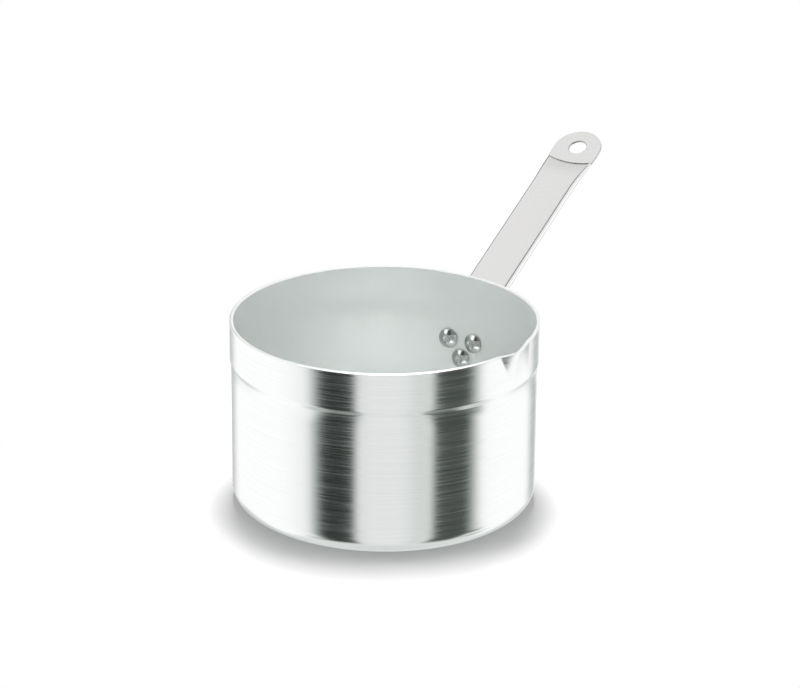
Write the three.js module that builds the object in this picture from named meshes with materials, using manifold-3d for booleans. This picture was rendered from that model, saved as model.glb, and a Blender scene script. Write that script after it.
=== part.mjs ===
// Saucepan: a drawn aluminium pan with a stepped rim band and a pouring lip,
// and one long pressed stainless handle held by three solid rivets.
// Millimetres, +Z up. The origin is the middle of the base, on the surface it stands on.
// The handle points along +X.
import * as THREE from 'three';
import { mergeVertices } from 'three/addons/utils/BufferGeometryUtils.js';
import Module from 'manifold-3d';

const wasm = await Module();
wasm.setup();

// Pan
const RIM_INNER_DIAMETER = 160;
const PAN_HEIGHT = 102;
const WALL = 2;
const BASE_THICKNESS = 3;
const BASE_CORNER_RADIUS = 10;
const RIM_EDGE_RADIUS = 0.5;

// Rim band: the top of the wall is drawn out by one small step
const BAND_HEIGHT = 22;
const STEP_DEPTH = 0.7;
const STEP_HEIGHT = 1;
const INNER_STEP_HEIGHT = 9;

// Pouring lip, pressed out of the rim band: steep on its front, away from the handle, and
// longer on its back
const LIP_BEARING = -93.5;
const LIP_REACH = 2.8;
const LIP_DROOP = 0.45;
const LIP_FRONT_ANGLE = 8.1;
const LIP_BACK_ANGLE = 11.8;
const LIP_DEPTH = 19;
const LIP_TIP_ROUNDING = 0.08;
const LIP_FOOT_BLEND = 0.12;
const LIP_FRONT_TAPER = 0.8;
const LIP_FADE = 1.2;

// Handle: one strip of sheet, flat round the pan wall, a shallow channel along the grip,
// and flat again at the tip
const SHEET = 1.2;
const GRIP_WIDTH = 25.3;
const GRIP_DEPTH = 3;
const FOLD_INNER_RADIUS = 0.15;
const FOLD_ANGLE = 84;
const FOLD_RUN_OUT = 6;
const GRIP_SLOPE = 28.4;
const GRIP_LENGTH = 130.5;
const FLARE_LENGTH = 24;
const TIP_LENGTH = 22.6;
const TIP_WIDTH = 28.8;
const CREASE_BOW = 2.6;
const CREASE_REACH = 14;
const CREASE_SHARPNESS = 3.5;
const HANGING_HOLE_DIAMETER = 10.3;
const HANGING_HOLE_FROM_END = 12.8;
const ROOT_BEND_RADIUS = 9;
const ROOT_BELOW_STEP = 3.2;
const ROOT_MARGIN = 7;

// Rivets: a domed head inside the pan and a closed head outside the handle
const RIVET_SHANK_DIAMETER = 5;
const RIVET_HEAD_DIAMETER = 11;
const RIVET_SIDE_GAP = 5;
const RIVET_ROW_GAP = 2.3;
const RIVET_BELOW_BEND = 2.5;
const RIVET_HEAD_HEIGHT = 2.4;
const RIVET_HEAD_EDGE = 0.4;
const RIVET_DIMPLE_DIAMETER = 3;
const RIVET_DIMPLE_DEPTH = 0.35;
const CLOSED_HEAD_DIAMETER = 9;
const CLOSED_HEAD_HEIGHT = 2;
const CLOSED_HEAD_EDGE = 0.5;

// Clearances
const SEAT_GAP = 0.25;
const RIVET_CLEARANCE = 0.2;

// Smoothness: how many flats stand for each round
const PAN_SEGMENTS = 116;
const LIP_GATHER = 0.65;
const BASE_CORNER_STEPS = 5;
const INNER_CORNER_STEPS = 4;
const RIM_EDGE_STEPS = 2;
const BAND_STEPS = 5;
const RIVET_SEGMENTS = 20;
const HOLE_SEGMENTS = 32;
const STRIP_STEPS = { end: 5, root: 4, shoulder: 3, bend: 7, runOut: 3, grip: 2, flare: 10, tip: 3 };
const STRIP_BLUNT_END = 0.08;
const FLAT_STEPS = 4;
const FOLD_STEPS = 4;
const FLAT_SHARE_LIMIT = 0.86;
const FOLD_SHARE_LIMIT = 0.97;
const LEAST_FOLD_SHARE = 0.3;
const CUT_OVERRUN = 10;
const MERGE_DISTANCE = 1e-4;

// Sizes that follow
const rimOuterRadius = RIM_INNER_DIAMETER / 2 + WALL;
const wallOuterRadius = rimOuterRadius - STEP_DEPTH;
const wallInnerRadius = wallOuterRadius - WALL;
const innerCornerRadius = BASE_CORNER_RADIUS - WALL;
const stepMiddle = PAN_HEIGHT - BAND_HEIGHT;
const stepBottom = stepMiddle - STEP_HEIGHT / 2;
const lipAxis = THREE.MathUtils.degToRad(LIP_BEARING);
const lipFrontAngle = THREE.MathUtils.degToRad(LIP_FRONT_ANGLE);
const lipBackAngle = THREE.MathUtils.degToRad(LIP_BACK_ANGLE);

const slope = THREE.MathUtils.degToRad(GRIP_SLOPE);
const rootBendAngle = Math.PI / 2 - slope;
const rootTangent = ROOT_BEND_RADIUS * Math.tan(rootBendAngle / 2);
const rootCornerHeight = stepBottom - ROOT_BELOW_STEP;
const rootRadius = wallOuterRadius + SEAT_GAP + SHEET / 2;
const bendStartHeight = rootCornerHeight - rootTangent;

const rivetHalfPitch = (RIVET_HEAD_DIAMETER + RIVET_SIDE_GAP) / 2;
const rivetDrop = Math.sqrt((RIVET_HEAD_DIAMETER + RIVET_ROW_GAP) ** 2 - rivetHalfPitch ** 2);
const upperRivetHeight = bendStartHeight - RIVET_BELOW_BEND - CLOSED_HEAD_DIAMETER / 2;
const lowerRivetHeight = upperRivetHeight - rivetDrop;
const upperRivetAngle = Math.asin(rivetHalfPitch / wallInnerRadius);
const rootEndHeight = lowerRivetHeight - ROOT_MARGIN;

const clamp = THREE.MathUtils.clamp;
const smoothstep = THREE.MathUtils.smoothstep;
const lerp = THREE.MathUtils.lerp;

// Evenly spaced values from one end up to, but not including, the other.
function spread(from, to, count) {
  return Array.from({ length: count }, (_, i) => lerp(from, to, i / count));
}

// A closed solid from a geometry whose faces meet along every edge.
function toSolid(geometry) {
  const shell = geometry.clone();
  shell.deleteAttribute('normal');
  shell.deleteAttribute('uv');
  const merged = mergeVertices(shell, MERGE_DISTANCE);
  const corners = Array.from(merged.index.array);
  const faces = [];
  for (let i = 0; i < corners.length; i += 3) {
    const face = corners.slice(i, i + 3);
    if (new Set(face).size === 3) faces.push(...face);
  }
  return new wasm.Manifold(new wasm.Mesh({
    numProp: 3,
    vertProperties: new Float32Array(merged.attributes.position.array),
    triVerts: new Uint32Array(faces),
  }));
}

function toGeometry(solid) {
  const mesh = solid.getMesh();
  const geometry = new THREE.BufferGeometry();
  geometry.setAttribute('position', new THREE.BufferAttribute(mesh.vertProperties, 3));
  geometry.setIndex(new THREE.BufferAttribute(mesh.triVerts, 1));
  geometry.computeVertexNormals();
  return geometry;
}

// Moves every corner of a geometry to the place that a rule gives for it.
function reshape(geometry, rule) {
  const position = geometry.attributes.position;
  const corner = new THREE.Vector3();
  for (let i = 0; i < position.count; i += 1) {
    corner.fromBufferAttribute(position, i);
    rule(corner);
    position.setXYZ(i, corner.x, corner.y, corner.z);
  }
  return geometry;
}

// Points along a round corner of a profile, from one angle to another.
function cornerArc(x, y, radius, from, to, count) {
  return Array.from({ length: count + 1 }, (_, i) => {
    const angle = lerp(from, to, i / count);
    return new THREE.Vector2(x + radius * Math.cos(angle), y + radius * Math.sin(angle));
  });
}

// The wall's profile at the step: out by one step depth, as a smooth S. It is crisp outside
// and drawn out inside.
function stepProfile(radius, height) {
  const bends = [0, 0.3, 0.7, 1];
  return bends.map((t) => new THREE.Vector2(
    radius + STEP_DEPTH * smoothstep(t, 0, 1),
    stepMiddle + (t - 0.5) * height,
  ));
}

// Heights in the rim band, above a step of some height, at which the lip's form is held.
function bandProfile(radius, stepHeight) {
  const stepTop = stepMiddle + stepHeight / 2;
  const heights = spread(stepTop, PAN_HEIGHT - RIM_EDGE_RADIUS, BAND_STEPS).slice(1);
  return heights.map((height) => new THREE.Vector2(radius, height));
}

// Half section of the pan, from the middle of the underside round to the middle of the inside.
function panProfile() {
  const rimInnerRadius = rimOuterRadius - WALL;
  const outside = [
    new THREE.Vector2(0, 0),
    ...cornerArc(
      wallOuterRadius - BASE_CORNER_RADIUS,
      BASE_CORNER_RADIUS,
      BASE_CORNER_RADIUS,
      -Math.PI / 2,
      0,
      BASE_CORNER_STEPS,
    ),
    ...stepProfile(wallOuterRadius, STEP_HEIGHT),
    ...bandProfile(rimOuterRadius, STEP_HEIGHT),
  ];
  const rim = [
    ...cornerArc(
      rimOuterRadius - RIM_EDGE_RADIUS,
      PAN_HEIGHT - RIM_EDGE_RADIUS,
      RIM_EDGE_RADIUS,
      0,
      Math.PI / 2,
      RIM_EDGE_STEPS,
    ),
    ...cornerArc(
      rimInnerRadius + RIM_EDGE_RADIUS,
      PAN_HEIGHT - RIM_EDGE_RADIUS,
      RIM_EDGE_RADIUS,
      Math.PI / 2,
      Math.PI,
      RIM_EDGE_STEPS,
    ),
  ];
  const inside = [
    ...bandProfile(rimInnerRadius, INNER_STEP_HEIGHT).reverse(),
    ...stepProfile(wallInnerRadius, INNER_STEP_HEIGHT).reverse(),
    ...cornerArc(
      wallInnerRadius - innerCornerRadius,
      BASE_THICKNESS + innerCornerRadius,
      innerCornerRadius,
      0,
      -Math.PI / 2,
      INNER_CORNER_STEPS,
    ),
    new THREE.Vector2(0, BASE_THICKNESS),
  ];
  return [...outside, ...rim, ...inside];
}

// The lip across the rim: 1 at its tip and 0 beyond its feet, with a round tip between
// straight flanks that run softly into the band.
function lipAcross(share) {
  const rounded = Math.hypot(share, LIP_TIP_ROUNDING) - LIP_TIP_ROUNDING;
  const foot = Math.hypot(1, LIP_TIP_ROUNDING) - LIP_TIP_ROUNDING;
  const height = 1 - rounded / foot;
  if (height > LIP_FOOT_BLEND) return height;
  return Math.max(height + LIP_FOOT_BLEND, 0) ** 2 / (4 * LIP_FOOT_BLEND);
}

// Presses the lip out of the band. The lip fades downwards, and its front narrows.
function pressLip(corner) {
  const radius = Math.hypot(corner.x, corner.y);
  const depth = (PAN_HEIGHT - corner.z) / LIP_DEPTH;
  if (depth > 1) return;
  const bearing = Math.atan2(corner.y, corner.x) - lipAxis;
  const aside = Math.atan2(Math.sin(bearing), Math.cos(bearing));
  const frontAngle = lipFrontAngle * (1 - LIP_FRONT_TAPER * depth);
  const share = aside < 0 ? -aside / frontAngle : aside / lipBackAngle;
  const push = lipAcross(share) * (1 - depth) ** LIP_FADE;
  const scale = (radius + LIP_REACH * push) / radius;
  corner.set(corner.x * scale, corner.y * scale, corner.z - LIP_DROOP * push);
}

// Draws the turned pan's stations closer together near the lip, where the form is fine.
function gatherStations(corner) {
  const radius = Math.hypot(corner.x, corner.y);
  const even = Math.atan2(corner.y, corner.x) - lipAxis;
  const gathered = lipAxis + even - LIP_GATHER * Math.sin(even);
  corner.set(radius * Math.cos(gathered), radius * Math.sin(gathered), corner.z);
}

function rivetPlaces() {
  return [
    { name: 'rivet_upper_left', angle: upperRivetAngle, height: upperRivetHeight },
    { name: 'rivet_upper_right', angle: -upperRivetAngle, height: upperRivetHeight },
    { name: 'rivet_lower', angle: 0, height: lowerRivetHeight },
  ];
}

// The three rivets' holes, as pins that reach through the wall and the handle's root.
function rivetHoleCutters() {
  const radius = RIVET_SHANK_DIAMETER / 2 + RIVET_CLEARANCE;
  return rivetPlaces().map(({ angle, height }) => {
    const pin = new THREE.CylinderGeometry(radius, radius, 2 * CUT_OVERRUN, RIVET_SEGMENTS);
    pin.rotateZ(Math.PI / 2);
    pin.translate(rootRadius, 0, height);
    pin.rotateZ(angle);
    return toSolid(pin);
  });
}

function buildPan() {
  const turned = new THREE.LatheGeometry(panProfile(), PAN_SEGMENTS);
  turned.rotateX(Math.PI / 2);
  turned.rotateZ(lipAxis + Math.PI / 2);
  reshape(turned, gatherStations);
  reshape(turned, pressLip);
  let pan = toSolid(turned);
  for (const hole of rivetHoleCutters()) pan = pan.subtract(hole);
  return toGeometry(pan);
}

// Handle blank. u runs along the strip from the end of the root to the end of the tip,
// v across it, both measured on the sheet's middle.
const fold = THREE.MathUtils.degToRad(FOLD_ANGLE);
const foldRadius = FOLD_INNER_RADIUS + SHEET / 2;
const gripFlat = GRIP_WIDTH / 2 - foldRadius - SHEET / 2;
const foldRise = SHEET / 2 + foldRadius * (1 - Math.cos(fold)) + (SHEET / 2) * Math.cos(fold);
const flange = (GRIP_DEPTH - foldRise) / Math.sin(fold);
const gripHalfBlank = gripFlat + foldRadius * fold + flange;
const gripEdge = gripFlat + (foldRadius + SHEET / 2) * Math.sin(fold) + flange * Math.cos(fold);
const tipDrop = GRIP_DEPTH - SHEET;
const tipRadius = TIP_WIDTH / 2;

const uLowerRivet = ROOT_MARGIN;
const uUpperRivet = uLowerRivet + rivetDrop;
const uBendStart = bendStartHeight - rootEndHeight;
const uBendEnd = uBendStart + ROOT_BEND_RADIUS * rootBendAngle;
const uCrease = uBendEnd + GRIP_LENGTH - rootTangent;
const uFlare = uCrease - FLARE_LENGTH;
const uEnd = uCrease + TIP_LENGTH;
const uTip = uEnd - tipRadius;

// Half width of a round end at a distance from its middle.
function chord(radius, distance) {
  return Math.sqrt(Math.max(radius ** 2 - distance ** 2, 0));
}

// Root plate: one round corner about each rivet, with straight sides between them.
function rootHalfWidth(u) {
  const lean = Math.atan2(rivetHalfPitch, rivetDrop);
  const back = ROOT_MARGIN * Math.sin(lean);
  const out = ROOT_MARGIN * Math.cos(lean);
  if (u < uLowerRivet - back) return chord(ROOT_MARGIN, u - uLowerRivet);
  if (u < uUpperRivet - back) return out + (u - uLowerRivet + back) * Math.tan(lean);
  return rivetHalfPitch + chord(ROOT_MARGIN, Math.min(u - uUpperRivet, 0));
}

// Half width of the blank from its root to the flare.
function blankHalfWidth(u) {
  if (u < uUpperRivet) return rootHalfWidth(u);
  const shoulder = rootHalfWidth(uUpperRivet);
  return lerp(shoulder, gripHalfBlank, smoothstep(u, uUpperRivet, uBendEnd));
}

// How far the top sinks towards the tip, which lies level with the edges of the folded sides.
function sunkDepth(u) {
  const flattened = clamp((u - uFlare) / FLARE_LENGTH, 0, 1);
  return tipDrop * flattened ** CREASE_SHARPNESS;
}

// The formed section at a station: the half width of its flat top, the angle of its folded
// sides, and the half width of the blank. Where the top sinks, the sides get lower and at last
// open out flat.
function formedSection(u) {
  const depth = GRIP_DEPTH - SHEET / 2 - sunkDepth(u);
  const opened = Math.acos(clamp((foldRadius - depth) / FOLD_INNER_RADIUS, -1, 1));
  const raised = smoothstep(u, uBendStart, uBendEnd + FOLD_RUN_OUT);
  const angle = Math.min(fold, opened) * raised;
  if (u < uFlare) return { flat: gripFlat, angle, halfWidth: blankHalfWidth(u) };
  if (u > uTip) {
    const round = chord(tipRadius, u - uTip);
    return { flat: round, angle: 0, halfWidth: round };
  }
  const arcDepth = foldRadius * (1 - Math.cos(angle)) + (SHEET / 2) * Math.cos(angle);
  const side = angle > 0 ? Math.max(depth - arcDepth, 0) / Math.sin(angle) : 0;
  const outside = lerp(gripEdge, tipRadius, smoothstep(u, uFlare, uTip));
  const flat = outside - (foldRadius + SHEET / 2) * Math.sin(angle) - side * Math.cos(angle);
  return { flat, angle, halfWidth: flat + foldRadius * angle + side };
}

// Stations along the strip, closer together round the ends, the bend and the flare.
function alongStations() {
  const quarter = spread(STRIP_BLUNT_END, 1, STRIP_STEPS.end).map((t) => (t * Math.PI) / 2);
  const rootRound = quarter.map((angle) => uLowerRivet * (1 - Math.cos(angle)));
  const tipRound = quarter.map((angle) => uEnd - tipRadius * (1 - Math.cos(angle))).reverse();
  return [
    ...rootRound,
    ...spread(uLowerRivet, uUpperRivet, STRIP_STEPS.root),
    ...spread(uUpperRivet, uBendStart, STRIP_STEPS.shoulder),
    ...spread(uBendStart, uBendEnd, STRIP_STEPS.bend),
    ...spread(uBendEnd, uBendEnd + FOLD_RUN_OUT, STRIP_STEPS.runOut),
    ...spread(uBendEnd + FOLD_RUN_OUT, uFlare, STRIP_STEPS.grip),
    ...spread(0, Math.PI / 2, STRIP_STEPS.flare).map((t) => uFlare + FLARE_LENGTH * Math.sin(t)),
    ...spread(uCrease, uTip, STRIP_STEPS.tip),
    uTip,
    ...tipRound,
  ];
}

// Share of the half width at which a row of corners runs along the strip. The rows keep to the
// flat, the folded edge and the flange as these shift.
function acrossShare(row, { flat, angle, halfWidth }) {
  const flatShare = Math.min(flat / halfWidth, FLAT_SHARE_LIMIT);
  const foldShare = clamp(
    (flat + foldRadius * angle) / halfWidth,
    lerp(flatShare, 1, LEAST_FOLD_SHARE),
    FOLD_SHARE_LIMIT,
  );
  if (row <= FLAT_STEPS) return (flatShare * row) / FLAT_STEPS;
  const past = row - FLAT_STEPS;
  return past <= FOLD_STEPS ? lerp(flatShare, foldShare, past / FOLD_STEPS) : 1;
}

// The strip's middle line in the X-Z plane, with the direction that it runs in.
function strip(u) {
  if (u < uBendStart) return { x: rootRadius, z: rootEndHeight + u, heading: Math.PI / 2 };
  const turned = Math.min((u - uBendStart) / ROOT_BEND_RADIUS, rootBendAngle);
  const heading = Math.PI / 2 - turned;
  const beyond = Math.max(u - uBendEnd, 0);
  const bendX = ROOT_BEND_RADIUS * (1 - Math.cos(turned));
  const bendZ = ROOT_BEND_RADIUS * Math.sin(turned);
  return {
    x: rootRadius + bendX + beyond * Math.cos(heading),
    z: rootEndHeight + uBendStart + bendZ + beyond * Math.sin(heading),
    heading,
  };
}

// Where a point of the strip's cross section lies: aside, above the middle line, and the
// lean of the sheet there.
function foldedSection(v, { flat, angle }) {
  const past = v - flat;
  if (past <= 0) return { aside: v, above: 0, lean: 0 };
  const lean = Math.min(past / foldRadius, angle);
  const rest = past - foldRadius * lean;
  return {
    aside: flat + foldRadius * Math.sin(lean) + rest * Math.cos(lean),
    above: -foldRadius * (1 - Math.cos(lean)) - rest * Math.sin(lean),
    lean,
  };
}

// The formed strip at a station along it, a row across it and a side of the sheet.
function formStrip(station, row, side) {
  const formed = formedSection(station);
  const share = acrossShare(Math.abs(row), formed);
  const nearCrease = 1 - smoothstep(Math.abs(station - uCrease), 0, CREASE_REACH);
  const u = station - CREASE_BOW * nearCrease * (1 - share ** 2);
  const wrapped = 1 - smoothstep(station, uBendStart, uBendEnd);

  const section = foldedSection(share * formed.halfWidth, formed);
  const curl = section.aside * (wrapped / rootRadius);
  const curlAside = wrapped > 0 ? (Math.sin(curl) * rootRadius) / wrapped : section.aside;
  const curlAbove = wrapped > 0 ? ((1 - Math.cos(curl)) * rootRadius) / wrapped : 0;
  const lean = section.lean - curl;
  const offset = (side * SHEET) / 2;

  const aside = Math.sign(row) * (curlAside + offset * Math.sin(lean));
  const above = section.above + curlAbove + offset * Math.cos(lean) - sunkDepth(station);
  const { x, z, heading } = strip(u);
  return new THREE.Vector3(
    x - above * Math.sin(heading),
    aside,
    z + above * Math.cos(heading),
  );
}

function hangingHoleCutter() {
  const radius = HANGING_HOLE_DIAMETER / 2;
  const pin = new THREE.CylinderGeometry(radius, radius, 2 * CUT_OVERRUN, HOLE_SEGMENTS);
  pin.rotateX(Math.PI / 2);
  pin.rotateY(-slope);
  const { x, z } = strip(uEnd - HANGING_HOLE_FROM_END);
  pin.translate(x + tipDrop * Math.sin(slope), 0, z - tipDrop * Math.cos(slope));
  return toSolid(pin);
}

function buildHandle() {
  const along = alongStations();
  const rows = 2 * (FLAT_STEPS + FOLD_STEPS + 1);
  const blank = new THREE.BoxGeometry(1, 1, 2, along.length - 1, rows, 1);
  reshape(blank, (corner) => {
    const station = along[Math.round((corner.x + 0.5) * (along.length - 1))];
    corner.copy(formStrip(station, Math.round(corner.y * rows), corner.z));
  });
  let handle = toSolid(blank).subtract(hangingHoleCutter());
  for (const hole of rivetHoleCutters()) handle = handle.subtract(hole);
  return toGeometry(handle);
}

// Rivet, turned about its own axis: radius across, distance from the pan's axis along.
function buildRivet() {
  const headRadius = RIVET_HEAD_DIAMETER / 2;
  const closedRadius = CLOSED_HEAD_DIAMETER / 2;
  const shankRadius = RIVET_SHANK_DIAMETER / 2;
  const dimpleRadius = RIVET_DIMPLE_DIAMETER / 2;
  const headSeat = Math.sqrt(wallInnerRadius ** 2 - headRadius ** 2) - SEAT_GAP;
  const crown = headSeat - RIVET_HEAD_HEIGHT;
  const closedSeat = rootRadius + SHEET / 2 + SEAT_GAP;
  const domeRise = RIVET_HEAD_HEIGHT - RIVET_HEAD_EDGE;
  const ballRadius = (headRadius ** 2 + domeRise ** 2) / (2 * domeRise);
  const dome = (share) => new THREE.Vector2(
    headRadius * share,
    crown + ballRadius - chord(ballRadius, headRadius * share),
  );
  const dimpleShare = dimpleRadius / headRadius;
  const dimple = (share) => new THREE.Vector2(
    dimpleRadius * share,
    dome(dimpleShare).y + RIVET_DIMPLE_DEPTH * (1 - share ** 2) ** 2,
  );
  const closedDome = (share) => new THREE.Vector2(
    closedRadius * share,
    lerp(closedSeat + CLOSED_HEAD_EDGE, closedSeat + CLOSED_HEAD_HEIGHT, 1 - share ** 2),
  );
  const profile = [
    ...[0, 0.6].map(dimple),
    ...[dimpleShare, 0.5, 0.75, 1].map(dome),
    new THREE.Vector2(headRadius, headSeat),
    new THREE.Vector2(shankRadius, headSeat),
    new THREE.Vector2(shankRadius, closedSeat),
    new THREE.Vector2(closedRadius, closedSeat),
    ...[1, 0.85, 0.6, 0.3, 0].map(closedDome),
  ];
  const rivet = new THREE.LatheGeometry(profile, RIVET_SEGMENTS);
  rivet.rotateZ(-Math.PI / 2);
  return toGeometry(toSolid(rivet));
}

function metal(colour, roughness) {
  return new THREE.MeshStandardMaterial({ color: colour, roughness, metalness: 1 });
}

const saucepan = new THREE.Group();

const pan = new THREE.Mesh(buildPan(), metal(0xd8dbdb, 0.35));
pan.name = 'pan_body';
saucepan.add(pan);

const handle = new THREE.Mesh(buildHandle(), metal(0xcfd2d1, 0.4));
handle.name = 'handle';
saucepan.add(handle);

for (const { name, angle, height } of rivetPlaces()) {
  const rivet = new THREE.Mesh(buildRivet(), metal(0xc4c8c8, 0.2));
  rivet.name = name;
  rivet.position.z = height;
  rivet.rotation.z = angle;
  saucepan.add(rivet);
}

export default saucepan;
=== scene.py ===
import math

import bpy
import numpy as np
from mathutils import Matrix, Vector


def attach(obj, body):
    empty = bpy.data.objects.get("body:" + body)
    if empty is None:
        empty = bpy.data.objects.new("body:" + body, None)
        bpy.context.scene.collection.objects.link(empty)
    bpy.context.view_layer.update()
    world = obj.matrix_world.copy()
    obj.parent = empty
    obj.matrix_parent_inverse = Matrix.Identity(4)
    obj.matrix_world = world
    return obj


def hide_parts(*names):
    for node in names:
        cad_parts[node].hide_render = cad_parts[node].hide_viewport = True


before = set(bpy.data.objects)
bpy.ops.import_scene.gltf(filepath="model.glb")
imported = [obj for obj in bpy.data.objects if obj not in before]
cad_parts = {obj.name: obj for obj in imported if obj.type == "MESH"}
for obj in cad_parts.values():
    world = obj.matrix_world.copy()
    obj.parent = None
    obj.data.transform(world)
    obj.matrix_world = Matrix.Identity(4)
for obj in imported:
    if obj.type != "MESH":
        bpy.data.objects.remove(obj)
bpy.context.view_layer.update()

bl_info = {
    "name": "Saucepan",
    "version": (1, 0, 0),
    "blender": (4, 5, 0),
    "location": "View3D > Sidebar > Saucepan",
    "description": "Aluminium saucepan with a pouring lip and a riveted steel handle",
    "category": "Add Mesh",
}

MM = 0.001
TINY = 1e-6
QUARTER_TURN = math.pi / 2
SMOOTH_ANGLE = math.radians(40)


def linear(hex_colour):
    """An sRGB hex colour as linear red, green and blue."""
    parts = [int(hex_colour[i:i + 2], 16) / 255 for i in (1, 3, 5)]
    return tuple(p / 12.92 if p <= 0.04045 else ((p + 0.055) / 1.055) ** 2.4 for p in parts)


def smoothstep(value, low, high):
    """Nought up to low, one from high on, and a soft rise between them."""
    share = np.clip((value - low) / (high - low), 0, 1)
    return share * share * (3 - 2 * share)


# Sizes and colours


class PanSizes(bpy.types.PropertyGroup):
    """The drawn pan: wall, rim band and pouring lip."""

    rim_inner_diameter: bpy.props.FloatProperty(
        name="Rim inner diameter", description="Across the mouth", default=0.160, unit="LENGTH")
    height: bpy.props.FloatProperty(
        name="Height", description="Base to rim", default=0.102, unit="LENGTH")
    wall: bpy.props.FloatProperty(
        name="Wall", description="Thickness of the wall", default=0.002, unit="LENGTH")
    base_thickness: bpy.props.FloatProperty(
        name="Base thickness", description="Thickness of the base", default=0.003, unit="LENGTH")
    base_corner_radius: bpy.props.FloatProperty(
        name="Base corner", description="Outer radius between wall and base", default=0.010,
        unit="LENGTH")
    rim_edge_radius: bpy.props.FloatProperty(
        name="Rim edge", description="Radius on the rim's two edges", default=0.0005, unit="LENGTH")
    band_height: bpy.props.FloatProperty(
        name="Band height", description="Rim to the middle of the step", default=0.022,
        unit="LENGTH")
    step_depth: bpy.props.FloatProperty(
        name="Step depth", description="How far the band stands out of the wall", default=0.0007,
        unit="LENGTH")
    step_height: bpy.props.FloatProperty(
        name="Step height", description="Height of the step's steep part", default=0.001,
        unit="LENGTH")
    step_run: bpy.props.FloatProperty(
        name="Step run", description="Height over which the step runs outside", default=0.0025,
        unit="LENGTH")
    inner_step_height: bpy.props.FloatProperty(
        name="Inner step height", description="Height over which the step runs inside",
        default=0.014, unit="LENGTH")
    lip_bearing: bpy.props.FloatProperty(
        name="Lip bearing", description="Direction of the lip, from the handle",
        default=math.radians(-93.5), subtype="ANGLE")
    lip_reach: bpy.props.FloatProperty(
        name="Lip reach", description="How far the lip's tip stands out", default=0.0028,
        unit="LENGTH")
    lip_droop: bpy.props.FloatProperty(
        name="Lip droop", description="How far the lip's tip sinks", default=0.00045,
        unit="LENGTH")
    lip_front_angle: bpy.props.FloatProperty(
        name="Lip front angle", description="From the lip's tip to its foot away from the handle",
        default=math.radians(8.1), subtype="ANGLE")
    lip_back_angle: bpy.props.FloatProperty(
        name="Lip back angle", description="From the lip's tip to its foot towards the handle",
        default=math.radians(11.8), subtype="ANGLE")
    lip_depth: bpy.props.FloatProperty(
        name="Lip depth", description="From the rim to the lip's lower end", default=0.019,
        unit="LENGTH")


class HandleSizes(bpy.types.PropertyGroup):
    """The handle: one formed strip of steel sheet."""

    sheet: bpy.props.FloatProperty(
        name="Sheet", description="Thickness of the sheet", default=0.0012, unit="LENGTH")
    grip_width: bpy.props.FloatProperty(
        name="Grip width", description="Across the folded grip", default=0.0253, unit="LENGTH")
    grip_depth: bpy.props.FloatProperty(
        name="Grip depth", description="Top face to the edge of the folded side", default=0.003,
        unit="LENGTH")
    fold_inner_radius: bpy.props.FloatProperty(
        name="Fold radius", description="Inner radius of the folded sides", default=0.00015,
        unit="LENGTH")
    fold_angle: bpy.props.FloatProperty(
        name="Fold angle", description="How far the sides are folded down",
        default=math.radians(84), subtype="ANGLE")
    fold_run_out: bpy.props.FloatProperty(
        name="Fold run-out", description="Length past the bend where the fold is full",
        default=0.006, unit="LENGTH")
    slope: bpy.props.FloatProperty(
        name="Slope", description="Rise of the grip above the horizontal",
        default=math.radians(28.4), subtype="ANGLE")
    grip_length: bpy.props.FloatProperty(
        name="Grip length", description="From the bend's corner to the crease", default=0.1305,
        unit="LENGTH")
    flare_length: bpy.props.FloatProperty(
        name="Flare length", description="Where the folded sides open out", default=0.024,
        unit="LENGTH")
    tip_length: bpy.props.FloatProperty(
        name="Tip length", description="From the crease to the end", default=0.0226, unit="LENGTH")
    tip_width: bpy.props.FloatProperty(
        name="Tip width", description="Across the flat tip", default=0.0288, unit="LENGTH")
    crease_bow: bpy.props.FloatProperty(
        name="Crease bow", description="How far the crease bows towards the pan", default=0.0026,
        unit="LENGTH")
    crease_reach: bpy.props.FloatProperty(
        name="Crease reach", description="Where the bow dies out", default=0.014, unit="LENGTH")
    hole_diameter: bpy.props.FloatProperty(
        name="Hanging hole", description="Diameter of the hanging hole", default=0.0103,
        unit="LENGTH")
    hole_from_end: bpy.props.FloatProperty(
        name="Hole from end", description="Middle of the hole to the end", default=0.0128,
        unit="LENGTH")
    bend_radius: bpy.props.FloatProperty(
        name="Root bend", description="Radius of the bend at the root", default=0.009,
        unit="LENGTH")
    root_below_step: bpy.props.FloatProperty(
        name="Root below step", description="Step to the corner of the bend", default=0.0032,
        unit="LENGTH")
    root_margin: bpy.props.FloatProperty(
        name="Root margin", description="Metal round each rivet", default=0.007, unit="LENGTH")
    edge_round: bpy.props.FloatProperty(
        name="Edge round", description="Deburred edge of the sheet", default=0.00012,
        unit="LENGTH")


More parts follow.
